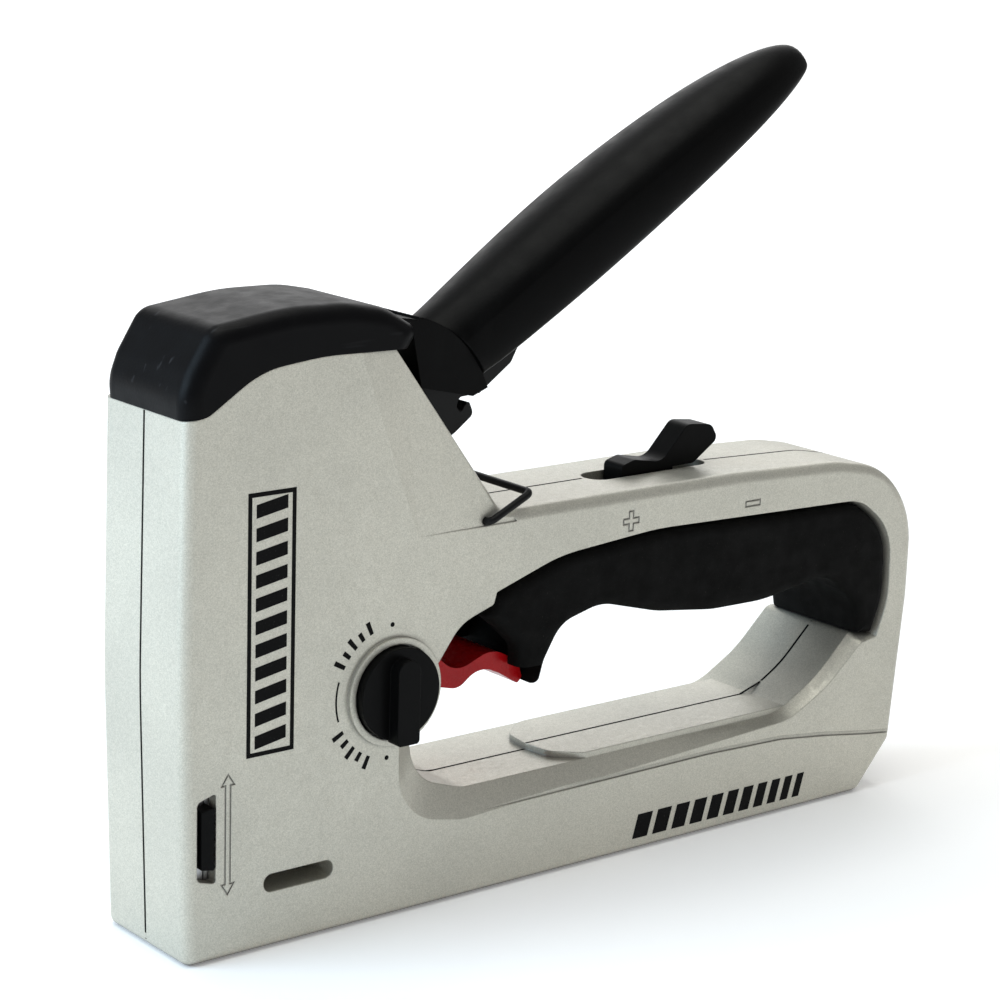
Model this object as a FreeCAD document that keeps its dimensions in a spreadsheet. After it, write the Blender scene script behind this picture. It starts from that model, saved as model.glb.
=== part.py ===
"""Hand staple gun: two die-cast half shells, black top cap, squeeze handle and rubber grip insert.

Everything is drawn in millimetres from the nose: x runs back from the nose face, z up from the sole,
and y = 0 is the parting plane between the two shells (-y is the side with the mode knob).
Each sub-part's Placement then moves it forward by nose_to_origin, so that the part's origin lies
on the sole, half way along the tool, with +X to the rear.
"""

import FreeCAD
import Part

import math
import os

Vector = FreeCAD.Vector

# Driving dimensions in millimetres; angles in degrees.
DIMENSIONS = {
    "nose_to_origin": 97.0,
    "half_width": 15.0,
    "wall": 2.6,
    "edge_round": 2.4,
    "channel_half": 7.3,
    "channel_top": 16.0,
    "handle_pivot_x": 50.0,
    "handle_pivot_z": 97.0,
    "handle_slope": 32.3,
    "bail_pivot_x": 70.0,
    "bail_pivot_z": 80.0,
    "bail_wire": 1.6,
    "knob_x": 47.6,
    "knob_z": 48.1,
    "knob_radius": 9.5,
    "knob_ring_radius": 11.2,
    "knob_ring_rise": 0.9,
    "trigger_pivot_x": 56.5,
    "trigger_pivot_z": 54.5,
    "trigger_half": 9.8,
    "sear_pivot_x": 31.0,
    "sear_pivot_z": 60.0,
    "blade_front": 3.3,
    "blade_thick": 1.2,
    "blade_half": 6.0,
    "leaf_z": 75.4,
    "leaf_thick": 2.2,
    "leaf_half": 5.0,
    "lever_half": 4.0,
    "root_half": 9.0,
    "pin_gap": 0.04,
    "rail_length": 178.0,
    "rail_front": 6.2,
    "pad_half": 14.9,
}
D = DIMENSIONS

doc = FreeCAD.newDocument("staple_gun")
sheet = doc.addObject("Spreadsheet::Sheet", "Dimensions")
for row, (alias, value) in enumerate(DIMENSIONS.items(), start=1):
    sheet.set(f"A{row}", alias)
    sheet.set(f"B{row}", str(value))
    sheet.setAlias(f"B{row}", alias)
doc.recompute()

nodes = {}


def cell(alias):
    """Expression that reads one driving dimension."""
    return f"<<Dimensions>>.{alias}"


def finish_node(item, label):
    """Names a finished sub-part and moves it from the nose frame to the part's own frame."""
    item.Label = label
    item.Placement = FreeCAD.Placement(Vector(-D["nose_to_origin"], 0, 0), FreeCAD.Rotation())
    item.setExpression("Placement.Base.x", "-" + cell("nose_to_origin"))
    nodes[label] = item
    return item


# ---------------------------------------------------------------- outlines


def corner_arc(before, corner, after, radius):
    """Tangent arc that rounds one corner of an outline."""
    to_before = (before - corner).normalize()
    to_after = (after - corner).normalize()
    half_angle = to_before.getAngle(to_after) / 2
    reach = radius / math.tan(half_angle)
    bisector = (to_before + to_after).normalize()
    centre = corner + bisector * (radius / math.sin(half_angle))
    start = corner + to_before * reach
    end = corner + to_after * reach
    return start, centre - bisector * radius, end


def outline(points):
    """Closed outline from (u, v) or (u, v, corner radius) points, as lines and tangent arcs."""
    corners = [Vector(p[0], p[1], 0) for p in points]
    radii = [p[2] if len(p) > 2 else 0 for p in points]
    runs = []
    for i, corner in enumerate(corners):
        before = corners[i - 1]
        after = corners[(i + 1) % len(corners)]
        if radii[i]:
            runs.append(corner_arc(before, corner, after, radii[i]))
        else:
            runs.append((corner, None, corner))
    pieces = []
    for i, (start, middle, end) in enumerate(runs):
        if middle is not None:
            pieces.append(Part.Arc(start, middle, end))
        following = runs[(i + 1) % len(runs)][0]
        if (following - end).Length > 1e-6:
            pieces.append(Part.LineSegment(end, following))
    return pieces


def circle(u, v, radius):
    return [Part.Circle(Vector(u, v, 0), Vector(0, 0, 1), radius)]


def rectangle(u_low, v_low, u_high, v_high, radius=0):
    corners = [(u_low, v_low), (u_high, v_low), (u_high, v_high), (u_low, v_high)]
    return outline([(u, v, radius) for u, v in corners])


def stroke(points, width):
    """Closed outline of a band of the given width along one side of an open run of points."""
    there = [(x, z) for x, z in points]
    back = [(x, z + width) for x, z in reversed(points)]
    return outline(there + back)


def about(centre, radius, degrees):
    """Point at an angle about a centre, in the x-z plane."""
    turn = math.radians(degrees)
    return centre[0] + radius * math.cos(turn), centre[1] + radius * math.sin(turn)


# ---------------------------------------------------------------- features


def new_body(name):
    return doc.addObject("PartDesign::Body", name)


def sketch_on(body, loops, plane="XZ_Plane", offset=0.0):
    """Sketch of closed loops on one of the body's origin planes, moved along its normal."""
    sketch = body.newObject("Sketcher::SketchObject", body.Name + "_sketch")
    base = next(item for item in body.Origin.OriginFeatures if item.Role == plane)
    sketch.AttachmentSupport = [(base, "")]
    sketch.MapMode = "FlatFace"
    sketch.AttachmentOffset = FreeCAD.Placement(Vector(0, 0, offset), FreeCAD.Rotation())
    for loop in loops:
        for piece in loop:
            sketch.addGeometry(piece, False)
    return sketch


def pad(body, loops, length, plane="XZ_Plane", offset=0.0, symmetric=False, reverse=False):
    """Pad whose length is a number or the name of a driving dimension."""
    feature = body.newObject("PartDesign::Pad", body.Name + "_pad")
    feature.Profile = sketch_on(body, loops, plane, offset)
    set_length(feature, length, symmetric)
    feature.Reversed = reverse
    return feature


def pocket(body, loops, length, plane="XZ_Plane", offset=0.0, symmetric=False, reverse=False):
    feature = body.newObject("PartDesign::Pocket", body.Name + "_pocket")
    feature.Profile = sketch_on(body, loops, plane, offset)
    set_length(feature, length, symmetric)
    feature.Reversed = reverse
    return feature


def set_length(feature, length, symmetric):
    if symmetric:
        feature.SideType = "Symmetric"
    if isinstance(length, str):
        feature.setExpression("Length", length)
    else:
        feature.Length = length


def plate(label, loops, length, plane="XZ_Plane", offset=0.0):
    """Flat piece padded evenly to both sides of its sketch."""
    body = new_body(label)
    pad(body, loops, length, plane, offset, symmetric=True)
    return finish_node(body, label)


def pin(label, x, z, radius, length, y=0.0, head_radius=0.0, head_length=0.0):
    """Round pin across the tool, with a head at its -y end if it has one."""
    body = new_body(label)
    pad(body, [circle(x, z, radius)], length, offset=-y, symmetric=True)
    if head_radius:
        pad(body, [circle(x, z, head_radius)], head_length, offset=length / 2 - y)
    return finish_node(body, label)


def shaped(label, shape):
    """Free-form piece made with Part's own functions."""
    feature = doc.addObject("Part::Feature", label)
    feature.Shape = shape
    return finish_node(feature, label)


def helper(name, shape):
    feature = doc.addObject("Part::Feature", name)
    feature.Shape = shape
    return feature


def cut_from(base, tool, name):
    feature = doc.addObject("Part::Cut", name)
    feature.Base = base
    feature.Tool = tool
    return feature


def box_shape(x_low, x_high, y_low, y_high, z_low, z_high):
    return Part.makeBox(x_high - x_low, y_high - y_low, z_high - z_low, Vector(x_low, y_low, z_low))


def across(x, z, radius, y_low, y_high):
    """Round bar across the tool."""
    return Part.makeCylinder(radius, y_high - y_low, Vector(x, y_low, z), Vector(0, 1, 0))


def spline_wire(points):
    curve = Part.BSplineCurve()
    curve.interpolate(points, PeriodicFlag=True)
    return Part.Wire([curve.toShape()])


def bent_wire(points, bend, radius):
    """Solid wire along straight runs joined by tangent bends."""
    edges = []
    start = points[0]
    for before, corner, after in zip(points, points[1:], points[2:]):
        first, middle, last = corner_arc(before, corner, after, bend)
        edges.append(Part.makeLine(start, first))
        edges.append(Part.Arc(first, middle, last).toShape())
        start = last
    edges.append(Part.makeLine(start, points[-1]))
    path = Part.Wire(edges)
    profile = Part.Wire([Part.makeCircle(radius, points[0], points[1] - points[0])])
    return path.makePipeShell([profile], True, False)


def coil(start, direction, coil_radius, pitch, length, wire_radius):
    """Helical spring about an axis."""
    helix = Part.makeHelix(pitch, length, coil_radius)
    profile = Part.Wire([Part.makeCircle(wire_radius, Vector(coil_radius, 0, 0), Vector(0, 1, 0))])
    spring = Part.Wire(helix.Edges).makePipeShell([profile], True, True)
    spring.Placement = FreeCAD.Placement(start, FreeCAD.Rotation(Vector(0, 0, 1), direction))
    return Part.makeCompound([spring])


# ---------------------------------------------------------------- shared outlines

PIVOT = (D["handle_pivot_x"], D["handle_pivot_z"])
TRIGGER = (D["trigger_pivot_x"], D["trigger_pivot_z"])
SEAR = (D["sear_pivot_x"], D["sear_pivot_z"])
KNOB = (D["knob_x"], D["knob_z"])
PIN_LENGTH = 27.2
LEVER_BORE = 3.0
SMALL_BORE = 1.5
KNOB_BORE = 3.0
KNOB_BOSS = 5.0
KNOB_RING_FACE = D["half_width"] + D["knob_ring_rise"]

# Each outline below is a run of (x, z) or (x, z, corner radius) points.
HEAD_SEAM = [(47.7, 117.3), (30.0, 117.7, 60), (15.5, 116.2, 22), (3.6, 108.6, 6), (-1.0, 108.0)]
SHELL_OUTLINE = [
    (-0.7, 0.0, 2.0),
    (183.0, 0.0, 3.0),
    (192.8, 11.2, 3.0),
    (195.9, 46.0, 40),
    (196.0, 64.4, 21),
    (186.9, 77.1, 21),
    (171.0, 80.0, 30),
    (140.0, 81.2, 80),
    (74.9, 81.2, 4.0),
] + HEAD_SEAM + [(-2.0, 55.0, 300)]

PAD_EDGE = [
    (73.8, 63.9, 0.6),
    (90.0, 69.3, 40),
    (116.6, 71.4, 80),
    (177.5, 69.8, 12),
    (187.8, 62.0, 14),
    (188.1, 46.0, 20),
    (184.9, 38.0),
]
TRIGGER_ARCH = [(58.3, 51.5), (64.0, 58.6, 10), (72.9, 61.4, 1.0)]
HOLE_FLOOR = [
    (179.8, 38.6, 3),
    (170.0, 29.5, 30),
    (158.0, 22.9, 16),
    (68.0, 22.9, 9),
    (55.5, 27.0, 10),
    (53.6, 38.3, 2),
]
HAND_HOLE = TRIGGER_ARCH + PAD_EDGE + HOLE_FLOOR
# The hole's outline again where it meets the side faces, flared most at its lower front corner.
HOLE_BEVEL = [
    (58.6, 51.9), (64.2, 59.4, 10), (72.6, 62.2, 1.0),
    (73.3, 64.7, 0.6), (90.0, 70.1, 40), (116.6, 72.2, 80), (178.0, 70.6, 12), (188.6, 62.4, 14),
    (188.9, 45.5, 20), (185.6, 37.2),
    (180.6, 36.4, 3), (170.5, 27.6, 30), (159.0, 21.9, 16), (66.0, 17.2, 12), (49.4, 20.5, 12),
    (49.2, 37.2, 2),
]
BAR_LINE = [(66.0, 18.0), (135.0, 18.3), (157.0, 17.6), (171.0, 15.9), (184.0, 13.9), (192.0, 12.9)]


def shell_cavities():
    """Hollows of a half shell as (loop, half depth of the hollow)."""
    inner_half = D["half_width"] - D["wall"]
    head = outline([
        (2.9, D["channel_top"]), (44.0, D["channel_top"], 6), (50.2, 37.5, 3), (54.4, 49.0, 3),
        (61.5, 60.6, 4), (70.8, 64.4, 3), (70.0, 80.2), (45.6, 112.5), (45.0, 119.0), (2.9, 119.0),
    ])
    grip = outline([(60.0, 73.6), (166.0, 73.6, 0.8), (166.0, 78.3, 0.8), (60.0, 78.3)])
    magazine = rectangle(2.9, -1.0, 200.0, D["channel_top"] + 0.1)
    return [(head, inner_half), (grip, 9.5), (magazine, D["channel_half"])]


def outer_loop_edges(shape, y):
    """Names of the edges round the outside of the shell's side face."""
    side = max(
        (face for face in shape.Faces if abs(face.CenterOfMass.y - y) < 1e-3),
        key=lambda face: face.Area,
    )
    rim = side.OuterWire.Edges
    names = []
    for number, edge in enumerate(shape.Edges, start=1):
        on_rim = any(edge.isSame(other) for other in rim)
        level_seam = edge.BoundBox.ZMin > 107.5
        if on_rim and not level_seam:
            names.append(f"Edge{number}")
    return names


def head_facet(side):
    """Wedge that bevels the side of the head behind the crease, towards its slanted rear edge."""
    face = side * D["half_width"]
    depth = side * (D["half_width"] - 1.5)
    outside = side * (D["half_width"] + 2)
    crease_top = Vector(38.0, face, 118.4)
    crease_foot = Vector(53.0, face, 79.0)
    rear_top = Vector(49.0, depth, 118.4)
    rear_foot = Vector(78.0, face - side * 0.3, 79.0)
    rim = [crease_top, crease_foot, rear_foot, rear_top]
    lifted = [Vector(p.x, outside, p.z) for p in rim]
    triangles = [
        (rim[0], rim[1], rim[3]), (rim[1], rim[2], rim[3]),
        (lifted[0], lifted[3], lifted[1]), (lifted[1], lifted[3], lifted[2]),
    ]
    for i in range(4):
        j = (i + 1) % 4
        triangles.append((rim[i], lifted[i], lifted[j]))
        triangles.append((rim[i], lifted[j], rim[j]))
    faces = [Part.Face(Part.makePolygon([a, b, c, a])) for a, b, c in triangles]
    return Part.makeSolid(Part.makeShell(faces))


def housing(label, side):
    """One half shell: side is -1 for the knob side and +1 for the other."""
    near = side < 0
    body = new_body(label + "_casting")
    blank = pad(body, [outline(SHELL_OUTLINE), outline(HAND_HOLE)], cell("half_width"), reverse=not near)
    doc.recompute()
    rim = outer_loop_edges(blank.Shape, side * D["half_width"])
    rounding = body.newObject("PartDesign::Fillet", body.Name + "_rounding")
    rounding.Base = (blank, rim)
    rounding.setExpression("Radius", cell("edge_round"))
    doc.recompute()
    for loop, depth in shell_cavities():
        pocket(body, [loop], depth, reverse=near)
    # Opening in the head's slanted rear wall for the handle's root.
    pocket(body, [rectangle(44.0, 84.3, 78.0, 119.0)], D["root_half"] + 0.5, reverse=near)
    screw_bosses(body, near)
    if near:
        pad(body, [circle(*KNOB, D["knob_ring_radius"])], KNOB_BOSS, offset=KNOB_RING_FACE - KNOB_BOSS)
    # Raised tongue along the top of the bar.
    tongue = [(94.4, 0.0), (95.4, 7.0, 4), (102.0, 12.4, 7), (164.0, 12.4), (164.0, 0.0)]
    pad(body, [outline([(x, side * y, *rest) for x, y, *rest in tongue])], 2.2, plane="XY_Plane", offset=22.0)
    # Groove that marks the lower skirt along the bar.
    pocket(body, [stroke(BAR_LINE, 0.9)], 0.35, offset=-side * D["half_width"], reverse=not near)
    # Window over the staples.
    pocket(body, [rectangle(16.9, 11.9, 33.5, 15.7, 1.85)], 20, reverse=near)
    # Slot through the trigger arch and its pivot.
    pocket(body, [rectangle(55.0, 43.5, 72.5, 62.5)], D["trigger_half"] + 0.5, reverse=near)
    holes = [circle(*TRIGGER, SMALL_BORE), circle(*PIVOT, LEVER_BORE), circle(*SEAR, SMALL_BORE)]
    pocket(body, holes, D["half_width"] - 1.2, reverse=near)
    pocket(body, [circle(D["bail_pivot_x"], D["bail_pivot_z"], D["bail_wire"] / 2 + D["pin_gap"])], 20,
           reverse=near)
    # Slot in the grip's top for the power slider.
    pocket(body, [rectangle(108.6, -3.7, 141.8, 3.7, 3.6)], 6, plane="XY_Plane", offset=77.0, reverse=True)
    if near:
        knob_side_features(body)
    else:
        screw_side_features(body)
    doc.recompute()
    bevels = helper(label + "_bevels", Part.makeCompound([head_facet(side), hole_bevel(side)]))
    return finish_node(cut_from(body, bevels, label), label)


def hole_bevel(side):
    """Flared cutter that bevels the rim of the hand hole, widest at its lower front corner."""
    face = side * D["half_width"]
    wires = []
    for loop, y in ((HOLE_BEVEL, face * 1.001), (HAND_HOLE, face - side * 3.2)):
        wire = Part.Wire(Part.__sortEdges__([piece.toShape() for piece in outline(loop)]))
        wire.Placement = FreeCAD.Placement(Vector(0, y, 0), FreeCAD.Rotation(Vector(1, 0, 0), 90))
        wires.append(wire)
    return Part.makeLoft(wires, True, True)


def knob_side_features(body):
    """Knob seat and bore, depth slot and engraved marks of the -y shell."""
    face = D["half_width"]
    pocket(body, [circle(*KNOB, D["knob_radius"] + 0.35)], 1.6, offset=KNOB_RING_FACE)
    pocket(body, [circle(*KNOB, KNOB_BORE)], 20, reverse=True)
    # Depth slot at the nose's corner and the channel of the depth plate behind it.
    pocket(body, [outline([(1.5, 17.6, 1.2), (5.8, 16.4, 0.6), (5.8, 34.9, 0.6), (1.5, 33.6, 1.2)])], 5,
           offset=face + 1)
    pocket(body, [rectangle(3.0, -1.0, 6.2, 42.0)], face - D["wall"], reverse=True)
    # Engraved outlines: a double arrow beside the slot, and plus and minus above the grip.
    for loops in (double_arrow(8.5, 13.4, 38.4), plus_mark(109.0, 74.9), minus_mark(144.2, 74.2)):
        pocket(body, loops, 0.25, offset=face)


MARK_LINE = 0.35
MARK_HALF = 0.75


def double_arrow(x, low, high):
    """Outlined arrow with a head at each end, as an outer and an inner loop."""
    loops = []
    for inset in (0.0, MARK_LINE):
        shaft = MARK_HALF - inset
        head = 1.7 - 1.6 * inset
        tip = 1.6 * inset
        neck = 2.6 - inset
        right = [
            (x, low + tip), (x + head, low + neck), (x + shaft, low + neck),
            (x + shaft, high - neck), (x + head, high - neck), (x, high - tip),
        ]
        left = [(2 * x - u, v) for u, v in reversed(right[1:-1])]
        loops.append(outline(right + left))
    return loops


def plus_mark(x, z):
    loops = []
    for inset in (0.0, MARK_LINE):
        arm = 2.3 - inset
        half = MARK_HALF - inset
        quarter = [(arm, -half), (arm, half), (half, half), (half, arm)]
        points = []
        for turn in range(4):
            for u, v in quarter[:3]:
                for _ in range(turn):
                    u, v = -v, u
                points.append((x + u, z + v))
        loops.append(outline(points))
    return loops


def minus_mark(x, z):
    loops = []
    for inset in (0.0, MARK_LINE):
        arm = 2.3 - inset
        half = MARK_HALF - inset
        loops.append(rectangle(x - arm, z - half, x + arm, z + half))
    return loops


SCREW_PLACES = [(12.0, 46.0), (22.0, 112.5), (62.0, 67.5), (40.0, 25.0), (184.0, 72.8), (183.0, 23.0)]
SCREW_RADIUS = 1.5
SCREW_HEAD = 2.8
BOSS_RADIUS = 3.0


def screw_bosses(body, near):
    """Bosses from the wall to the parting plane, drilled for the screws that hold the shells."""
    bosses = [circle(x, z, BOSS_RADIUS) for x, z in SCREW_PLACES[:4]]
    pad(body, bosses, D["half_width"] - D["wall"] + 0.2, reverse=not near)
    holes = [circle(x, z, SCREW_RADIUS) for x, z in SCREW_PLACES]
    pocket(body, holes, D["half_width"] - 3.0, reverse=near)


def screw_side_features(body):
    """Spring recess and sunk screw seats in the +y shell."""
    # Room for the trigger's spring.
    pocket(body, [circle(*TRIGGER, 2.7)], 12.6)
    seats = [circle(x, z, SCREW_HEAD + 0.3) for x, z in SCREW_PLACES]
    pocket(body, seats, 1.8, offset=-D["half_width"], reverse=True)
    pocket(body, [circle(x, z, SCREW_RADIUS) for x, z in SCREW_PLACES], 20)


housing("housing_left", -1)
housing("housing_right", 1)


def housing_screws():
    """Six screws, heads sunk in the +y shell."""
    seat = D["half_width"] - 1.8
    screws = []
    for x, z in SCREW_PLACES:
        shank = across(x, z, SCREW_RADIUS - 0.02, -10.5, seat)
        head = across(x, z, SCREW_HEAD, seat, seat + 1.5)
        slot = box_shape(x - 2.2, x + 2.2, seat + 0.8, seat + 2, z - 0.4, z + 0.4)
        screws.append(shank.fuse(head).removeSplitter().cut(slot))
    return shaped("housing_screws", Part.makeCompound(screws))


housing_screws()


# ---------------------------------------------------------------- top cap

CAP_TOP = [
    (-1.0, 108.0), (-1.3, 112.0, 10), (0.6, 117.0, 8), (5.6, 125.0, 5), (23.0, 127.3, 60),
    (37.0, 127.1, 30), (45.5, 125.4, 12), (53.6, 120.6, 2), (51.0, 117.0),
]


def top_cap():
    """Black cap over the head, hollow below and open behind for the handle's shroud."""
    body = new_body("top_cap_shell")
    seam = list(HEAD_SEAM[:-1])
    blank = pad(body, [outline(CAP_TOP + seam)], 2 * D["half_width"], symmetric=True)
    doc.recompute()
    rim = []
    for number, edge in enumerate(blank.Shape.Edges, start=1):
        box = edge.BoundBox
        on_side = abs(abs(box.Center.y) - D["half_width"]) < 1e-3 and box.YLength < 1e-3
        above_seam = box.ZMax > 118.5 or (box.XMax < 1.0 and box.ZMax > 109)
        if on_side and above_seam:
            rim.append(f"Edge{number}")
    rounding = body.newObject("PartDesign::Fillet", "top_cap_rounding")
    rounding.Base = (blank, rim)
    rounding.Radius = 3.6
    doc.recompute()
    hollow = outline([
        (2.6, 105.0), (2.6, 115.5), (8.0, 122.4, 3), (24.0, 124.6), (37.0, 124.4), (46.0, 122.8, 3),
        (47.0, 122.4), (47.0, 105.0),
    ])
    pocket(body, [hollow], 22.8, symmetric=True)
    pocket(body, [rectangle(40.0, 105.0, 58.0, 122.4)], 18.8, symmetric=True)
    finish_node(body, "top_cap")


top_cap()


# ---------------------------------------------------------------- striker and its spring


def striker():
    """Blade that drives the staple, and the block that the lever and the leaf spring move."""
    back = D["blade_front"] + D["blade_thick"]
    blade = new_body("striker_blade_plate")
    pad(blade, [rectangle(-D["blade_half"], 0.8, D["blade_half"], 92.0)], cell("blade_thick"), "YZ_Plane",
        D["blade_front"])
    finish_node(blade, "striker_blade")
    block = new_body("striker_block_body")
    pad(block, [rectangle(back, 70.2, back + 5.2, 94.0, 0.6)], 13.0, symmetric=True)
    leaf_window = rectangle(-D["leaf_half"] - 0.5, 73.6, D["leaf_half"] + 0.5, 77.2)
    lever_window = rectangle(-D["lever_half"] - 0.5, 85.2, D["lever_half"] + 0.5, 90.8)
    pocket(block, [leaf_window, lever_window], 20, "YZ_Plane", 20)
    finish_node(block, "striker_block")


striker()
plate("striker_guide", [rectangle(4.8, 16.5, 5.8, 66.0)], 24.4)
plate("striker_bumper", [rectangle(5.9, 63.0, 12.0, 69.8, 0.8)], 24.0)

LEAF_LOW = D["leaf_z"] - D["leaf_thick"] / 2
LEAF_HIGH = D["leaf_z"] + D["leaf_thick"] / 2
plate("drive_leaf_spring", [rectangle(6.2, LEAF_LOW, 158.0, LEAF_HIGH)], 2 * D["leaf_half"])
plate("spring_anchor", [outline([
    (149.0, 73.7), (165.0, 73.7), (165.0, 78.2), (149.0, 78.2), (149.0, LEAF_HIGH), (158.05, LEAF_HIGH),
    (158.05, LEAF_LOW), (149.0, LEAF_LOW),
])], 18.0)


# ---------------------------------------------------------------- handle

LEVER_OUTLINE = [
    # Tip in the striker block, and the underside of the arm.
    (6.4, 89.9, 1.6), (6.0, 86.6, 1.4), (10.6, 86.3, 1.2), (30.0, 88.2, 30), (46.0, 86.5, 8), (60.0, 90.6, 8),
    # Catch for the bail behind the head.
    (70.2, 96.4, 2.0), (74.6, 99.6, 1.3), (73.3, 102.6, 0.5), (72.2, 101.5, 0.3), (71.4, 100.2, 0.6),
    (70.0, 101.6, 0.9), (71.0, 103.5, 0.8), (76.0, 103.8, 1.0), (84.0, 109.4, 2),
    # Tail inside the grip, and back over the pivot.
    (88.5, 117.6, 4), (113.0, 133.4, 2), (110.5, 137.2, 2),
    (76.0, 114.5, 20), (60.0, 106.0, 8), (46.0, 107.5, 8), (30.0, 95.2, 30), (10.0, 90.4, 3),
]


def lever_frame():
    body = new_body("lever_frame_plate")
    loops = [outline(LEVER_OUTLINE), circle(*PIVOT, LEVER_BORE)]
    pad(body, loops, 2 * D["lever_half"], symmetric=True)
    return finish_node(body, "lever_frame")


# Sections along the handle: distance from the pivot, half width, underside, shoulder and crown.
GRIP_STATIONS = [
    (14.0, 8.8, -0.8, 6.2, 12.0),
    (22.0, 9.6, -2.6, 6.4, 12.2),
    (32.0, 10.4, -3.6, 6.8, 12.0),
    (48.0, 11.6, -3.8, 7.4, 12.4),
    (68.0, 12.2, -3.8, 7.8, 12.8),
    (90.0, 12.0, -3.6, 6.6, 12.0),
    (108.0, 10.8, -3.4, 5.0, 10.4),
    (122.0, 8.8, -3.1, 3.2, 8.0),
    (131.5, 5.8, -2.8, 1.2, 4.8),
    (137.4, 1.8, -2.6, -1.2, 0.4),
]


def grip_section(station):
    """Closed section across the handle: flat underside, upright sides and a crowned top."""
    along, half, low, shoulder, crown = station
    slope = math.radians(D["handle_slope"])
    forward = Vector(math.cos(slope), 0, math.sin(slope))
    upward = Vector(-math.sin(slope), 0, math.cos(slope))
    centre = Vector(PIVOT[0], 0, PIVOT[1]) + forward * along
    right = [
        (0.0, low), (0.62 * half, low + 0.02), (0.93 * half, low + 0.14 * (shoulder - low)),
        (half, 0.5 * (low + shoulder)), (0.95 * half, shoulder), (0.6 * half, 0.3 * shoulder + 0.7 * crown),
    ]
    left = [(-y, v) for y, v in reversed(right[1:])]
    loop = right + [(0.0, crown)] + left
    return spline_wire([centre + Vector(0, y, 0) + upward * v for y, v in loop])


def handle_grip(lever):
    """Moulded grip over the lever, ending in a curve about the pivot."""
    root_radius = 26.0
    blank = Part.makeLoft([grip_section(station) for station in GRIP_STATIONS], True, False)
    swing = across(*PIVOT, root_radius, -20, 20)
    grip = helper("handle_grip_blank", blank.cut(swing))
    room = helper("handle_grip_room", lever)
    return finish_node(cut_from(grip, room, "handle_grip"), "handle_grip")


def handle_root(lever):
    """Moulded root that straddles the lever, with a curved cover that keeps the head closed."""
    cover, joint, inner = 25.2, 25.8, 23.2
    upper_end, grip_end, cover_start, foot = 109, 75, 78, 20.5

    def at(radius, turn):
        return Vector(*about(PIVOT, radius, turn), 0)

    heel = Vector(57.4, 107.6, 0)
    rim = [
        Part.Arc(at(joint, foot), at(joint, (foot + grip_end) / 2), at(joint, grip_end)),
        Part.LineSegment(at(joint, grip_end), at(cover, grip_end)),
        Part.Arc(at(cover, grip_end), at(cover, (grip_end + upper_end) / 2), at(cover, upper_end)),
        Part.LineSegment(at(cover, upper_end), at(inner, upper_end)),
        Part.Arc(at(inner, upper_end), at(inner, (upper_end + cover_start) / 2), at(inner, cover_start)),
        Part.LineSegment(at(inner, cover_start), heel),
        Part.LineSegment(heel, at(21.8, foot)),
        Part.LineSegment(at(21.8, foot), at(joint, foot)),
    ]
    body = new_body("handle_root_block")
    pad(body, [rim], 2 * D["root_half"], symmetric=True)
    doc.recompute()
    return finish_node(cut_from(body, helper("handle_root_room", lever), "handle_shroud"), "handle_shroud")


doc.recompute()
lever = lever_frame()
doc.recompute()
lever_shape = lever.Shape.copy()
lever_shape.Placement = FreeCAD.Placement()
handle_grip(lever_shape)
handle_root(lever_shape)
pin("lever_pivot_pin", *PIVOT, LEVER_BORE - D["pin_gap"], PIN_LENGTH)
shaped("handle_return_spring", coil(Vector(PIVOT[0], 4.9, PIVOT[1]), Vector(0, 1, 0), 4.4, 1.2, 6.0, 0.5))


# ---------------------------------------------------------------- lock bail


def lock_bail():
    """Wire bail that hooks over the handle's catch when the handle is held closed."""
    x, z = D["bail_pivot_x"], D["bail_pivot_z"]
    reach = D["half_width"] + 0.35 + D["bail_wire"] / 2
    inside = D["half_width"] - 1.9
    bar = Vector(x + 10.4, 0, z + 4.9)
    path = [
        Vector(x, -inside, z), Vector(x, -reach, z), Vector(bar.x, -reach, bar.z),
        Vector(bar.x, reach, bar.z), Vector(x, reach, z), Vector(x, inside, z),
    ]
    return shaped("lock_bail", bent_wire(path, 1.3, D["bail_wire"] / 2))


lock_bail()


# ---------------------------------------------------------------- power slider

plate("power_slider", [outline([
    (116.4, 78.0), (116.4, 83.4, 1.2), (120.0, 84.4, 2), (127.8, 83.0, 4), (135.0, 90.6, 2.4),
    (142.0, 89.8, 2.4), (144.0, 86.4, 1.5), (137.0, 81.7, 2), (131.0, 81.6), (131.0, 78.0),
])], 6.0)
plate("fulcrum_block", [rectangle(117.0, 76.8, 131.0, 78.0, 0.4)], 17.0)


# ---------------------------------------------------------------- depth guide

depth_plate = new_body("depth_guide_plate")
pad(depth_plate, [rectangle(-12.2, 1.8, -7.3, 40.0, 1)], 1.3, "YZ_Plane", 3.2)
finish_node(depth_plate, "depth_guide")


def depth_thumb():
    """Knurled thumb piece that shows through the slot at the nose's corner."""
    ribs = 8
    low, high = 19.4, 32.2
    step = (high - low) / ribs
    knurl = []
    for rib in range(ribs):
        knurl.append((5.0, low + step * rib))
        knurl.append((5.5, low + step * (rib + 0.5)))
    points = [(2.3, low + 0.6), *knurl, (5.0, high), (2.3, high - 0.6)]
    body = new_body("depth_thumb_piece")
    pad(body, [outline(points)], 3.2, offset=12.2)
    return finish_node(body, "depth_thumb")


depth_thumb()


# ---------------------------------------------------------------- mode knob


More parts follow.
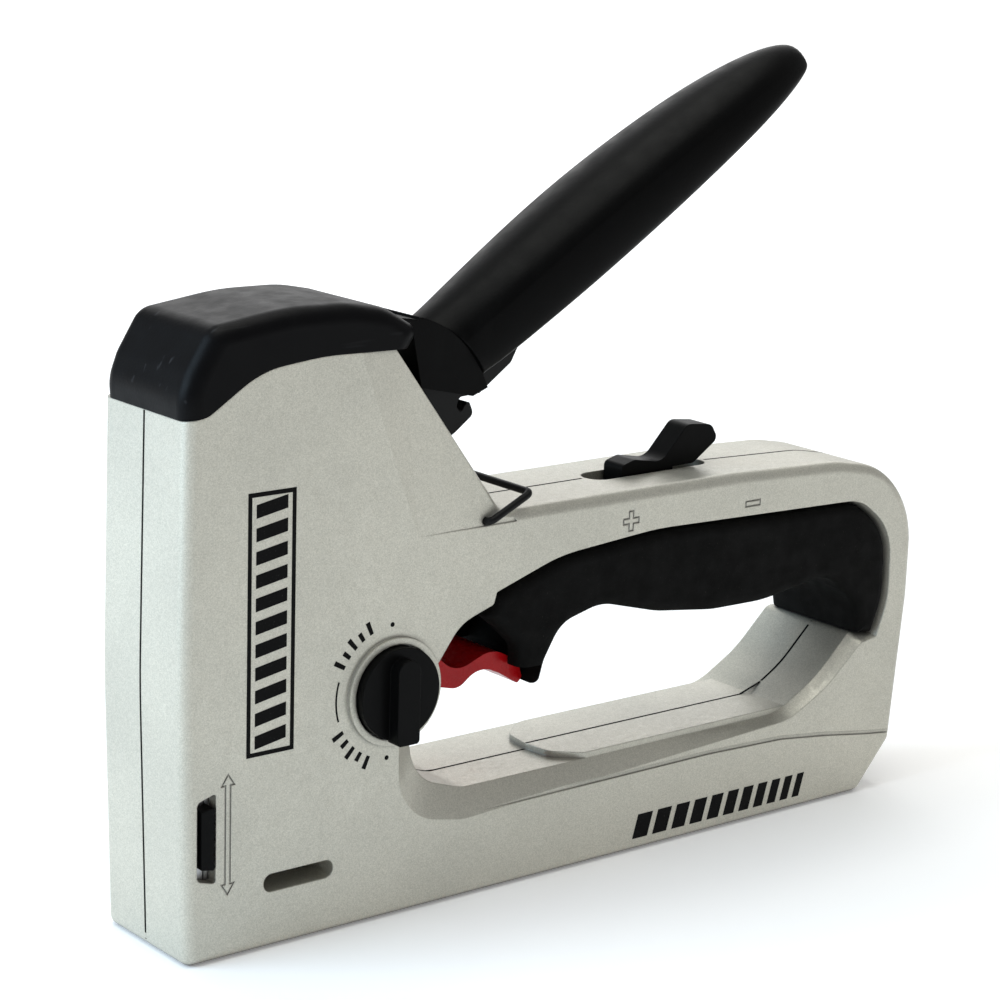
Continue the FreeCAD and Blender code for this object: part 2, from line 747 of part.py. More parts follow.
def mode_knob():
    """Round knob with a raised grip bar that points to the chosen mark."""
    face = D["half_width"]
    body = new_body("mode_knob_disc")
    pad(body, [circle(*KNOB, D["knob_radius"])], 3.0, offset=face - 0.4)
    bar = outline([
        (KNOB[0] - 2.7, KNOB[1] - 9.9, 0.8), (KNOB[0] + 2.7, KNOB[1] - 9.9, 0.8),
        (KNOB[0] + 2.7, KNOB[1] + 7.6, 2.6), (KNOB[0] - 2.7, KNOB[1] + 7.6, 2.6),
    ])
    pad(body, [bar], 3.4, offset=face + 2.0)
    return finish_node(body, "mode_knob")


def mode_shaft():
    body = new_body("mode_shaft_bar")
    length = 7.6
    pad(body, [circle(*KNOB, KNOB_BORE - 1.25 * D["pin_gap"])], length, offset=D["half_width"] - 0.4 - length)
    # Off-centre cam behind the knob's boss.
    cam = 3.4
    pad(body, [circle(KNOB[0] - 0.6, KNOB[1], 4.0)], cam, offset=KNOB_RING_FACE - KNOB_BOSS - 0.2 - cam)
    return finish_node(body, "mode_shaft")


mode_knob()
mode_shaft()


# ---------------------------------------------------------------- trigger and sear

SMALL_PIN = SMALL_BORE - D["pin_gap"]


def trigger():
    body = new_body("trigger_blade")
    blade = outline([
        # Hub and front face, then the upper edge out to the tip.
        (53.6, 57.6, 2.4), (60.5, 57.8, 2.6), (62.8, 51.0, 3),
        (67.2, 47.2, 6), (76.8, 50.9, 7), (83.6, 47.0, 4),
        # Tip and the hollow for the finger.
        (84.8, 43.4, 0.8), (83.6, 42.2, 0.6), (78.4, 45.4, 6), (73.4, 47.6, 6),
        (68.0, 43.6, 4), (60.8, 45.4, 3), (57.8, 50.2, 3), (53.6, 51.2, 2),
    ])
    pad(body, [blade, circle(*TRIGGER, SMALL_BORE)], 2 * D["trigger_half"], symmetric=True)
    return finish_node(body, "trigger")


trigger()
pin("trigger_pin", *TRIGGER, SMALL_PIN, PIN_LENGTH)
shaped("trigger_spring", coil(Vector(TRIGGER[0], 10.5, TRIGGER[1]), Vector(0, 1, 0), 2.2, 0.7, 1.4, 0.25))
plate("sear", [outline([
    (11.8, 59.0, 0.8), (13.0, 62.8, 0.8), (20.0, 63.2, 4), (31.0, 64.2, 6), (50.0, 58.0, 2), (52.2, 55.8, 1),
    (49.6, 53.6, 1), (31.0, 56.0, 6), (16.0, 59.4, 3),
]), circle(*SEAR, SMALL_BORE)], 6.0)
pin("sear_pin", *SEAR, SMALL_PIN, PIN_LENGTH)
shaped("sear_spring", coil(Vector(SEAR[0], 4.2, SEAR[1]), Vector(0, 1, 0), 2.2, 0.7, 1.4, 0.25))


# ---------------------------------------------------------------- rubber grip insert

PAD_LOWER = [
    # Rear end and the palm side of the hole.
    (180.2, 38.6), (178.6, 47.0, 8), (170.0, 53.8, 10), (150.0, 50.8, 40), (135.0, 51.0, 30),
    (119.0, 53.1, 25), (103.0, 57.4, 14),
    # Front horn that shields the trigger.
    (91.8, 54.6, 8), (87.6, 47.5, 6), (86.2, 42.6, 1.2), (83.0, 43.0, 0.8), (80.4, 46.5, 2),
    (80.4, 51.5, 4), (75.3, 56.4, 4), (71.8, 59.3, 0.4),
]


def grip_pad():
    """Rubber insert round the hand hole, its front horn hollowed along the sweep of the trigger's tip."""
    body = new_body("grip_pad_moulding")
    upper = [(74.2, 63.7, 0.6)] + PAD_EDGE[1:]
    blank = pad(body, [outline(upper + PAD_LOWER)], 2 * D["pad_half"], symmetric=True)
    doc.recompute()
    rim = []
    for number, edge in enumerate(blank.Shape.Edges, start=1):
        box = edge.BoundBox
        on_side = box.YLength < 1e-3
        if on_side and box.Center.z < 57.5 and box.XLength > 0.3:
            rim.append(f"Edge{number}")
    rounding = body.newObject("PartDesign::Fillet", "grip_pad_rounding")
    rounding.Base = (blank, rim)
    rounding.Radius = 2.5
    doc.recompute()
    sweep = [about(TRIGGER, 30.5, turn) for turn in (-30, -22, -14, -6, 2)]
    recess = outline([(64.0, 36.0)] + sweep + [(84.8, 60.6, 2), (64.0, 61.6)])
    pocket(body, [recess], 2 * D["trigger_half"] + 1.0, symmetric=True)
    # Below the horn's cheeks the tip of the trigger shows from the side.
    mouth = outline([(70.0, 36.0)] + sweep[:3] + [(70.0, sweep[2][1])])
    pocket(body, [mouth], 2 * D["half_width"] + 1.0, symmetric=True)
    return finish_node(body, "grip_pad")


grip_pad()


# ---------------------------------------------------------------- magazine

RAIL_REAR = D["rail_front"] + D["rail_length"]
RAIL_CORE_TOP = 12.4
ROD_HEIGHT = 6.0
ROD_RADIUS = 1.0
ROD_FRONT = 12.0
STRIP_FRONT = 4.9
STRIP_REAR = 45.9
PUSHER_LENGTH = 12.0


def magazine_rail():
    """Sliding steel rail: a sole plate and a slotted hollow core that the staples straddle."""
    half = [
        (6.9, 0.0), (6.9, 1.2), (4.3, 1.2), (4.3, RAIL_CORE_TOP),
        (1.3, RAIL_CORE_TOP), (1.3, 11.4), (3.3, 11.4), (3.3, 1.2),
    ]
    mirrored = [(-y, z) for y, z in reversed(half)]
    body = new_body("magazine_rail_section")
    pad(body, [outline(half + mirrored)], cell("rail_length"), "YZ_Plane", D["rail_front"])
    return finish_node(body, "magazine_rail")


def straddle(outer, inner, low, high, crown):
    """Section of a piece that straddles the rail's core."""
    return outline([
        (outer, low), (outer, high), (-outer, high), (-outer, low), (-inner, low), (-inner, crown),
        (inner, crown), (inner, low),
    ])


def staple_pusher():
    """Follower over the rail, with a foot in the hollow core that rides on the rod."""
    foot = [
        (0.9, 12.8), (0.9, 9.0), (2.9, 9.0), (2.9, 2.6), (-2.9, 2.6), (-2.9, 9.0), (-0.9, 9.0), (-0.9, 12.8),
    ]
    skirt = [
        (-4.7, 12.8), (-4.7, 1.7), (-5.6, 1.7), (-5.6, 14.0),
        (5.6, 14.0), (5.6, 1.7), (4.7, 1.7), (4.7, 12.8),
    ]
    rod_bore = circle(0, ROD_HEIGHT, ROD_RADIUS + 0.05)
    body = new_body("staple_pusher_section")
    pad(body, [outline(foot + skirt), rod_bore], PUSHER_LENGTH, "YZ_Plane", STRIP_REAR + 0.5)
    return finish_node(body, "staple_pusher")


magazine_rail()
strip = new_body("staple_strip_section")
pad(strip, [straddle(5.5, 4.6, 1.7, 13.3, RAIL_CORE_TOP)], STRIP_REAR - STRIP_FRONT, "YZ_Plane", STRIP_FRONT)
finish_node(strip, "staple_strip")
staple_pusher()
rod = new_body("pusher_rod_bar")
pad(rod, [circle(0, ROD_HEIGHT, ROD_RADIUS)], RAIL_REAR - ROD_FRONT, "YZ_Plane", ROD_FRONT)
finish_node(rod, "pusher_rod")
spring_front = STRIP_REAR + PUSHER_LENGTH + 1.1
shaped("pusher_spring", coil(Vector(spring_front, 0, ROD_HEIGHT), Vector(1, 0, 0), 1.9, 4.0, 124.0, 0.4))
plate("magazine_end", [outline([
    (RAIL_REAR, 0.0), (RAIL_REAR + 0.2, 0.0), (192.4, 10.4, 1), (192.8, 15.6), (RAIL_REAR, 15.6),
]), rectangle(188.4, 9.2, 191.2, 13.2)], 14.0)
plate("magazine_latch", [rectangle(188.6, 9.4, 191.0, 13.0)], 14.4)


# ---------------------------------------------------------------- checks and export

doc.recompute()
failed = [item.Name for item in doc.Objects if "Invalid" in item.State or "Error" in item.State]
failed += [label for label, item in nodes.items() if item.Shape.isNull() or not item.Shape.isValid()]
if failed:
    raise SystemExit("failed: " + ", ".join(failed))
os.makedirs("parts", exist_ok=True)
for label, item in nodes.items():
    item.Shape.exportStep(f"parts/{label}.step")
    print(label, len(item.Shape.Solids), round(item.Shape.Volume))
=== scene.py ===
"""Looks of the hand staple gun: a finish for every sub-part, and pieces finer than the frame's own."""

import math

import bmesh
import bpy
from mathutils import Matrix, Vector


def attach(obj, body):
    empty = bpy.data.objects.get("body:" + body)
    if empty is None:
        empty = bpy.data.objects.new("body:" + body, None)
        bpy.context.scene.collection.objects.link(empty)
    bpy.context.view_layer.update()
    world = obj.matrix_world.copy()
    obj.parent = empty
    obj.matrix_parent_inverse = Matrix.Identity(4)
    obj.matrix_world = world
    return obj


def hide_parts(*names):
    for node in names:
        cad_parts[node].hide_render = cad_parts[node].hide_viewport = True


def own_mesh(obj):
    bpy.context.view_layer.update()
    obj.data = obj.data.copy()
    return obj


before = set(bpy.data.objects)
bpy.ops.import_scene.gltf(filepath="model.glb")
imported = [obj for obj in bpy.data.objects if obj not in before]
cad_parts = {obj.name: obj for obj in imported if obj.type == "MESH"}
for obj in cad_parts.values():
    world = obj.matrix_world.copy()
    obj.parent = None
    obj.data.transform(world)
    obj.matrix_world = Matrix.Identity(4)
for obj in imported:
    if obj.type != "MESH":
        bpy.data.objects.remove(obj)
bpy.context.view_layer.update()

# Drawings are in millimetres and run back from the nose; the frame's origin lies half way along the tool.
MM = 0.001
NOSE_X = -97.0


def place(x, y, z):
    """Point in metres from millimetres behind the nose, across the tool and above the sole."""
    return Vector(((x + NOSE_X) * MM, y * MM, z * MM))


# ---------------------------------------------------------------- node trees

# Blender's noise rarely leaves this range, so it is stretched from here to the range a material wants.
NOISE_LOW = 0.3
NOISE_HIGH = 0.7

# Sockets of the Mix node when it mixes colours.
MIX_FACTOR = 0
MIX_FIRST = 6
MIX_SECOND = 7
MIX_RESULT = 2

SURFACE_SAMPLES = 6


class Tree:
    """Small helper that builds one material's nodes."""

    def __init__(self, name):
        self.material = bpy.data.materials.new(name)
        self.material.use_nodes = True
        self.nodes = self.material.node_tree.nodes
        self.links = self.material.node_tree.links
        self.nodes.clear()
        output = self.nodes.new("ShaderNodeOutputMaterial")
        self.shader = self.nodes.new("ShaderNodeBsdfPrincipled")
        self.link(self.shader.outputs[0], output.inputs[0])
        self.coordinates = self.nodes.new("ShaderNodeTexCoord").outputs["Object"]

    def set(self, **values):
        """Values that are the same all over the surface."""
        for socket, value in values.items():
            self.shader.inputs[socket.replace("_", " ")].default_value = value

    def link(self, source, target):
        self.links.new(source, target)

    def base_colour(self, source):
        self.link(source, self.shader.inputs["Base Color"])

    def roughness(self, noise, low, high):
        """Roughness that wanders between two values with a noise."""
        self.link(self.rescale(noise, NOISE_LOW, NOISE_HIGH, low, high), self.shader.inputs["Roughness"])

    def relief(self, normal):
        self.link(normal, self.shader.inputs["Normal"])

    def noise(self, scale, detail=2.0, roughness=0.5, stretch=(1, 1, 1)):
        mapping = self.nodes.new("ShaderNodeMapping")
        mapping.inputs["Scale"].default_value = stretch
        self.link(self.coordinates, mapping.inputs[0])
        texture = self.nodes.new("ShaderNodeTexNoise")
        texture.inputs["Scale"].default_value = scale
        texture.inputs["Detail"].default_value = detail
        texture.inputs["Roughness"].default_value = roughness
        self.link(mapping.outputs[0], texture.inputs["Vector"])
        return texture.outputs[0]

    def cells(self, scale):
        texture = self.nodes.new("ShaderNodeTexVoronoi")
        texture.inputs["Scale"].default_value = scale
        self.link(self.coordinates, texture.inputs["Vector"])
        return texture.outputs["Color"]

    def ramp(self, source, first, second, low=NOISE_LOW, high=NOISE_HIGH):
        """Colour that runs from the first to the second as the source goes from low to high."""
        node = self.nodes.new("ShaderNodeValToRGB")
        for element, position, colour in zip(node.color_ramp.elements, (low, high), (first, second)):
            element.position = position
            element.color = (*colour, 1)
        self.link(source, node.inputs[0])
        return node.outputs[0]

    def rescale(self, source, low, high, new_low, new_high):
        """Value moved from one range to another."""
        node = self.nodes.new("ShaderNodeMapRange")
        limits = {"From Min": low, "From Max": high, "To Min": new_low, "To Max": new_high}
        for socket, value in limits.items():
            node.inputs[socket].default_value = value
        self.link(source, node.inputs[0])
        return node.outputs[0]

    def mix(self, factor, first, second):
        """Colour between the first and the second, each a socket or a plain colour."""
        node = self.nodes.new("ShaderNodeMix")
        node.data_type = "RGBA"
        self.link(factor, node.inputs[MIX_FACTOR])
        for value, index in ((first, MIX_FIRST), (second, MIX_SECOND)):
            if isinstance(value, bpy.types.NodeSocket):
                self.link(value, node.inputs[index])
            else:
                node.inputs[index].default_value = (*value, 1)
        return node.outputs[MIX_RESULT]

    def product(self, first, second):
        """One colour multiplied by another."""
        node = self.nodes.new("ShaderNodeMix")
        node.data_type = "RGBA"
        node.blend_type = "MULTIPLY"
        node.inputs[MIX_FACTOR].default_value = 1.0
        self.link(first, node.inputs[MIX_FIRST])
        self.link(second, node.inputs[MIX_SECOND])
        return node.outputs[MIX_RESULT]

    def bump(self, height, distance, strength, normal=None):
        node = self.nodes.new("ShaderNodeBump")
        node.inputs["Distance"].default_value = distance
        node.inputs["Strength"].default_value = strength
        self.link(height, node.inputs["Height"])
        if normal is not None:
            self.link(normal, node.inputs["Normal"])
        return node.outputs[0]

    def soft_edges(self, radius):
        node = self.nodes.new("ShaderNodeBevel")
        node.samples = SURFACE_SAMPLES
        node.inputs["Radius"].default_value = radius
        return node.outputs[0]

    def crevices(self, distance):
        node = self.nodes.new("ShaderNodeAmbientOcclusion")
        node.samples = SURFACE_SAMPLES
        node.inputs["Distance"].default_value = distance
        return node.outputs["AO"]


# ---------------------------------------------------------------- materials

FLAKE_DARK = (0.46, 0.45, 0.39)
FLAKE_LIGHT = (0.66, 0.64, 0.565)
CLOUD_DARK = (0.90, 0.90, 0.89)
CLOUD_LIGHT = (1.0, 0.995, 0.98)
# Dark grey of the painted shade in the silver paint's crevices.
CREVICE_SHADE_TONE = (0.16, 0.155, 0.145)
SCRATCHED_BLACK = (0.06, 0.06, 0.065)
RUBBER_TONE = (0.003, 0.003, 0.0028)
RUBBER_SCUFF = (0.010, 0.0098, 0.008)
RUBBER_DUST = (0.05, 0.047, 0.035)
RED_DARK = (0.33, 0.002, 0.004)
RED_LIGHT = (0.42, 0.004, 0.006)
INK_TONE = (0.003, 0.003, 0.003)
INK_WORN = (0.10, 0.10, 0.095)
PAPER_DARK = (0.93, 0.93, 0.93)
PAPER_LIGHT = (0.95, 0.95, 0.95)

# A rubbed black is this much lighter, and a steel's grinding lines this much darker.
RUBBED_GAIN = 2.0
RUBBED_LIFT = 0.004
LINE_SHADE = 0.78

# The floor starts to glow this far from the object, and glows fully at the second distance.
GLOW_START = 0.35
GLOW_FULL = 1.5


def silver_paint():
    """Die-cast metal in warm silver paint: fine flake, orange peel, and painted shade that darkens the paint
    in the crevices.
    """
    tree = Tree("silver_paint")
    tree.set(Metallic=0.55, Coat_Weight=0.12, Coat_Roughness=0.25)
    flake = tree.ramp(tree.cells(scale=5200), FLAKE_DARK, FLAKE_LIGHT, low=0.0, high=1.0)
    cloud = tree.ramp(tree.noise(scale=38, detail=4), CLOUD_DARK, CLOUD_LIGHT)
    # Painted shade: ambient occlusion pulls the paint's colour towards a dark grey in crevices and recesses.
    painted_shade = tree.rescale(tree.crevices(0.0012), 0.2, 0.9, 1.0, 0.0)
    tree.base_colour(tree.mix(painted_shade, tree.product(flake, cloud), CREVICE_SHADE_TONE))
    tree.roughness(tree.noise(scale=700, detail=3), 0.34, 0.48)
    rounded = tree.soft_edges(0.0004)
    peel = tree.bump(tree.noise(1500, 3, 0.6), distance=0.00005, strength=0.55, normal=rounded)
    tree.relief(tree.bump(tree.noise(scale=160), distance=0.0001, strength=0.25, normal=peel))
    return tree.material


def black_moulding(name, tone, roughness, grain, scratches=0.0, gloss=0.06):
    """Black plastic with a fine spark-eroded grain and a few pale rub marks."""
    tree = Tree(name)
    tree.set(Specular_IOR_Level=gloss)
    rubbed = [channel * RUBBED_GAIN + RUBBED_LIFT for channel in tone]
    wear = tree.rescale(tree.noise(60, 6, 0.7, stretch=(1, 1, 0.35)), 0.58, 0.78, 0.0, 0.45)
    colour = tree.mix(wear, tone, rubbed)
    if scratches:
        lines = tree.noise(scale=420, stretch=(0.05, 1.0, 0.6))
        colour = tree.mix(tree.rescale(lines, 0.66, 0.72, 0.0, scratches), colour, SCRATCHED_BLACK)
    tree.base_colour(colour)
    tree.roughness(tree.noise(scale=240, detail=3), roughness - 0.05, roughness + 0.07)
    rounded = tree.soft_edges(0.0003)
    tree.relief(tree.bump(tree.noise(grain, 3, 0.6), distance=0.00004, strength=0.5, normal=rounded))
    return tree.material


def grip_rubber():
    """Matt rubber with dust specks and short scuffs."""
    tree = Tree("grip_rubber")
    tree.set(Specular_IOR_Level=0.08)
    dust = tree.rescale(tree.noise(2600, 2, 0.7), 0.66, 0.8, 0.0, 0.5)
    scuff = tree.rescale(tree.noise(90, 6, 0.75, stretch=(0.4, 1, 1.6)), 0.6, 0.75, 0.0, 0.35)
    tree.base_colour(tree.mix(dust, tree.mix(scuff, RUBBER_TONE, RUBBER_SCUFF), RUBBER_DUST))
    tree.roughness(tree.noise(scale=300, detail=3), 0.62, 0.82)
    tree.relief(tree.bump(tree.noise(1800, 4, 0.7), distance=0.00006, strength=0.6))
    return tree.material


def red_moulding():
    """Red plastic with a slightly uneven colour and a light sheen."""
    tree = Tree("trigger_red")
    tree.set(Specular_IOR_Level=0.18, Coat_Weight=0.04, Coat_Roughness=0.1)
    tree.base_colour(tree.ramp(tree.noise(scale=120, detail=3), RED_DARK, RED_LIGHT))
    tree.roughness(tree.noise(scale=500, detail=3), 0.22, 0.34)
    tree.relief(tree.bump(tree.noise(scale=700), distance=0.00003, strength=0.4))
    return tree.material


def bare_steel(name, tone, roughness, along=(0.05, 1, 1)):
    """Rolled or ground steel with fine lines along one direction."""
    tree = Tree(name)
    tree.set(Metallic=1.0)
    lines = tree.noise(2400, 3, 0.6, stretch=along)
    tree.base_colour(tree.ramp(lines, [channel * LINE_SHADE for channel in tone], tone))
    tree.roughness(lines, roughness - 0.06, roughness + 0.08)
    tree.relief(tree.bump(lines, distance=0.00002, strength=0.4))
    return tree.material


def print_ink():
    """Pad-printed black ink on the silver paint."""
    tree = Tree("print_ink")
    tree.set(Specular_IOR_Level=0.06)
    speck = tree.rescale(tree.noise(2200, 3, 0.7), 0.62, 0.72, 0.0, 0.35)
    tree.base_colour(tree.mix(speck, INK_TONE, INK_WORN))
    tree.roughness(tree.noise(scale=400), 0.38, 0.5)
    return tree.material


def studio_floor():
    """White paper floor that glows away from the object, so that it stays white to the horizon."""
    tree = Tree("studio_floor")
    tree.set(Roughness=0.85, Specular_IOR_Level=0.2, Emission_Color=(1, 1, 1, 1))
    tree.base_colour(tree.ramp(tree.noise(scale=3), PAPER_DARK, PAPER_LIGHT))
    reach = tree.nodes.new("ShaderNodeVectorMath")
    reach.operation = "LENGTH"
    tree.link(tree.coordinates, reach.inputs[0])
    glow = tree.rescale(reach.outputs["Value"], GLOW_START, GLOW_FULL, 0.16, 0.8)
    tree.link(glow, tree.shader.inputs["Emission Strength"])
    return tree.material


SILVER = silver_paint()
CAP_BLACK = black_moulding("cap_black", (0.0022, 0.0022, 0.0026), 0.40, grain=1500, scratches=0.3, gloss=0.08)
HANDLE_BLACK = black_moulding("handle_black", (0.0018, 0.0018, 0.0018), 0.38, grain=1400)
CONTROL_BLACK = black_moulding("control_black", (0.003, 0.003, 0.003), 0.36, grain=2000)
BLACK_STEEL = black_moulding("black_oxide_steel", (0.006, 0.006, 0.006), 0.36, grain=2600, gloss=0.14)
SEAM_SHADOW = black_moulding("seam_shadow", (0.006, 0.006, 0.005), 0.7, grain=1200)
RUBBER = grip_rubber()
RED = red_moulding()
STEEL = bare_steel("plain_steel", (0.56, 0.56, 0.57), 0.34)
SPRING = bare_steel("spring_steel", (0.42, 0.42, 0.44), 0.30)
STAPLES = bare_steel("staple_wire", (0.20, 0.20, 0.21), 0.30, along=(1, 0.05, 0.05))
INK = print_ink()


# ---------------------------------------------------------------- finishes of the CAD sub-parts

# Every sub-part that is not named here is plain steel.
FINISHED_NODES = (
    (SILVER, ("housing_left", "housing_right")),
    (CAP_BLACK, ("top_cap", "magazine_end")),
    (HANDLE_BLACK, ("handle_grip", "handle_shroud")),
    (CONTROL_BLACK, ("power_slider", "mode_knob", "depth_thumb")),
    (BLACK_STEEL, ("lever_frame", "lock_bail")),
    (RUBBER, ("grip_pad", "striker_bumper")),
    (RED, ("trigger",)),
    (SPRING, ("drive_leaf_spring", "handle_return_spring", "trigger_spring", "sear_spring", "pusher_spring")),
    (STAPLES, ("staple_strip",)),
)
MOULDING_RADII = {"power_slider": 0.5, "trigger": 0.9, "mode_knob": 0.4, "magazine_end": 0.4}
RADIUS_SEGMENTS = 3
SHARP_ANGLE = math.radians(40)


def finish_cad_nodes():
    """Gives every carried-over sub-part its finish."""
    finishes = {name: finish for finish, names in FINISHED_NODES for name in names}
    for name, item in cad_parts.items():
        finish = finishes.get(name, STEEL)
        for slot in item.material_slots:
            slot.material = finish
        if not item.material_slots:
            item.data.materials.append(finish)


def round_edges(name, radius):
    """Small moulding radius on a sub-part's sharp edges."""
    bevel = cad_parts[name].modifiers.new("moulding_radius", "BEVEL")
    bevel.width = radius * MM
    bevel.segments = RADIUS_SEGMENTS
    bevel.limit_method = "ANGLE"
    bevel.angle_limit = SHARP_ANGLE


finish_cad_nodes()
for control, moulding_radius in MOULDING_RADII.items():
    round_edges(control, moulding_radius)


# ---------------------------------------------------------------- mesh helpers


def add_piece(name, mesh, finish, body):
    """New piece from a finished mesh, riding on a body."""
    piece = bpy.data.objects.new(name, mesh)
    bpy.context.scene.collection.objects.link(piece)
    mesh.materials.append(finish)
    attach(piece, body)
    return piece


def mesh_from(name, build):
    """Mesh filled in by a function that draws into a bmesh."""
    drawing = bmesh.new()
    build(drawing)
    bmesh.ops.recalc_face_normals(drawing, faces=drawing.faces)
    mesh = bpy.data.meshes.new(name)
    drawing.to_mesh(mesh)
    drawing.free()
    return mesh


def add_corners(drawing, points):
    return [drawing.verts.new(point) for point in points]


def skin(drawing, rings):
    """Closed skin over rings of points, with a cap on the first ring and one on the last."""
    loops = [add_corners(drawing, ring) for ring in rings]
    count = len(loops[0])
    for here, there in zip(loops, loops[1:]):
        for i in range(count):
            j = (i + 1) % count
            drawing.faces.new((here[i], here[j], there[j], there[i]))
    drawing.faces.new(list(reversed(loops[0])))
    drawing.faces.new(loops[-1])


def spread(start, end, count):
    """Evenly spaced values, with both ends."""
    return [start + (end - start) * i / (count - 1) for i in range(count)]


# ---------------------------------------------------------------- printed marks

# The ink straddles the shell's face on the knob side.
FACE_Y = -15.0
INK_THICKNESS = 0.03

# Hatched upright band in place of the maker's lettering.
BAND_LEFT = 12.6
BAND_RIGHT = 23.6
BAND_LOW = 40.5
BAND_HIGH = 93.0
BAND_BORDER = 0.9
BAND_INSET = 1.9
BAND_BARS = 11
BAND_FIRST_BAR = 1.5
BAND_SPARE = 2.0
# Shares of the space that one bar has.
BAND_BAR_LEAN = 0.28
BAND_BAR_HEIGHT = 0.58

# Row of leaning bars near the rear of the skirt, each narrower than the one before.
STRIPE_START = 113.0
STRIPE_LOW = 3.0
STRIPE_HEIGHT = 5.4
STRIPE_LEAN = 1.5
STRIPE_GAP = 1.5
STRIPE_WIDTH = 4.3
STRIPE_NARROWING = 0.22
STRIPE_COUNT = 11

# Marks round the knob: two dots, a linking arc and two fans of ticks. Turns are in degrees.
KNOB = (47.6, 48.1)
DOTS = ((47.0, 62.0), (46.2, 34.4))
DOT_RADIUS = 0.5
DOT_TURNS = spread(0, 359, 17)
SCALE_RADIUS = 13.8
LINK_WIDTH = 0.4
LINK_TURNS = spread(163, 197, 15)
FAN_STARTS = (112, 206)
TICKS_PER_FAN = 5
TICK_PITCH = 9.2
TICK_TURN = 3.6
TICK_POINTS = 4
TICK_LENGTHS = (2.8, 2.0)


def printed(name, outlines):
    """Thin printed shapes on the knob side, from closed outlines in x and z."""

    def build(drawing):
        for outline in outlines:
            front = add_corners(drawing, [place(x, FACE_Y - INK_THICKNESS, z) for x, z in outline])
            back = add_corners(drawing, [place(x, FACE_Y + INK_THICKNESS, z) for x, z in outline])
            drawing.faces.new(front)
            drawing.faces.new(list(reversed(back)))
            for i in range(len(front)):
                j = (i + 1) % len(front)
                drawing.faces.new((front[j], front[i], back[i], back[j]))

    add_piece(name, mesh_from(name, build), INK, "tool_body")


def bar(x, z, along, up):
    """Four-sided outline from a corner and its two edges."""
    return [
        (x, z),
        (x + along[0], z + along[1]),
        (x + along[0] + up[0], z + along[1] + up[1]),
        (x + up[0], z + up[1]),
    ]


def border(left, low, right, high, width):
    """Four bars that make a rectangular border."""
    across = (right - left, 0)
    upright = (0, high - low - 2 * width)
    return [
        bar(left, low, across, (0, width)),
        bar(left, high - width, across, (0, width)),
        bar(left, low + width, (width, 0), upright),
        bar(right - width, low + width, (width, 0), upright),
    ]


def arc(centre, radius, turns):
    """Points on a circle at the given turns."""
    angles = [math.radians(turn) for turn in turns]
    return [(centre[0] + radius * math.cos(angle), centre[1] + radius * math.sin(angle)) for angle in angles]


def ring_arc(centre, inner, outer, turns):
    """Closed outline of an arc band."""
    return arc(centre, outer, turns) + arc(centre, inner, reversed(turns))


def side_band():
    """Border with a ladder of leaning bars inside it."""
    pitch = (BAND_HIGH - BAND_LOW - BAND_SPARE) / BAND_BARS
    along = (BAND_RIGHT - BAND_LEFT - 2 * BAND_INSET, pitch * BAND_BAR_LEAN)
    up = (0, pitch * BAND_BAR_HEIGHT)
    first = BAND_LOW + BAND_FIRST_BAR
    outlines = border(BAND_LEFT, BAND_LOW, BAND_RIGHT, BAND_HIGH, BAND_BORDER)
    outlines += [bar(BAND_LEFT + BAND_INSET, first + pitch * i, along, up) for i in range(BAND_BARS)]
    printed("side_band_print", outlines)


def speed_stripes():
    outlines = []
    x = STRIPE_START
    for i in range(STRIPE_COUNT):
        width = STRIPE_WIDTH - STRIPE_NARROWING * i
        outlines.append(bar(x, STRIPE_LOW, (width, 0), (STRIPE_LEAN, STRIPE_HEIGHT)))
        x += width + STRIPE_GAP
    printed("speed_stripe_print", outlines)


def knob_marks():
    """Dots, a linking arc and ticks that are long and short by turns."""
    outlines = [arc(dot, DOT_RADIUS, DOT_TURNS) for dot in DOTS]
    outlines.append(ring_arc(KNOB, SCALE_RADIUS, SCALE_RADIUS + LINK_WIDTH, LINK_TURNS))
    for fan in FAN_STARTS:
        for tick in range(TICKS_PER_FAN):
            start = fan + TICK_PITCH * tick
            turns = spread(start, start + TICK_TURN, TICK_POINTS)
            outlines.append(ring_arc(KNOB, SCALE_RADIUS, SCALE_RADIUS + TICK_LENGTHS[tick % 2], turns))
    printed("knob_scale_print", outlines)


side_band()
speed_stripes()
knob_marks()


# ---------------------------------------------------------------- parting line of the shells

SEAM_HALF = 0.28
SEAM_LIFT = 0.03
SEAM_DEPTH = 0.1
# Rays run this far to the +y side of the parting plane.
RAY_SIDE = 0.4

DOWN = (0, 0, -1)
BACK = (1, 0, 0)
AHEAD_OF_NOSE = -20
ABOVE_GRIP = 100
INSIDE_HAND_HOLE = 37
INSIDE_HOLE_REAR = 38.5
# Where each run of rays starts, and which way the rays go.
SEAM_RUNS = (
    ("seam_front", [(AHEAD_OF_NOSE, z) for z in spread(1.5, 107.9, 40)], BACK),
    ("seam_grip_front", [(x, ABOVE_GRIP) for x in spread(77.0, 107.6, 12)], DOWN),
    ("seam_grip_rear", [(x, ABOVE_GRIP) for x in spread(143.0, 182.0, 20)], DOWN),
    ("seam_bar_front", [(x, INSIDE_HAND_HOLE) for x in spread(56.6, 94.2, 18)], DOWN),
    ("seam_tongue", [(x, INSIDE_HAND_HOLE) for x in spread(94.6, 163.9, 12)], DOWN),
    ("seam_bar_rear", [(x, INSIDE_HOLE_REAR) for x in spread(164.2, 179.6, 14)], DOWN),
)


def surface_run(origins, direction):
    """Points just above the +y shell, where rays beside the parting plane meet it."""
    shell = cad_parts["housing_right"]
    direction = Vector(direction)
    points = []
    for x, z in origins:
        hit, spot, _, _ = shell.ray_cast(place(x, RAY_SIDE, z), direction)
        if hit:
            points.append(Vector((spot.x, 0, spot.z)) - direction * SEAM_LIFT * MM)
    return points


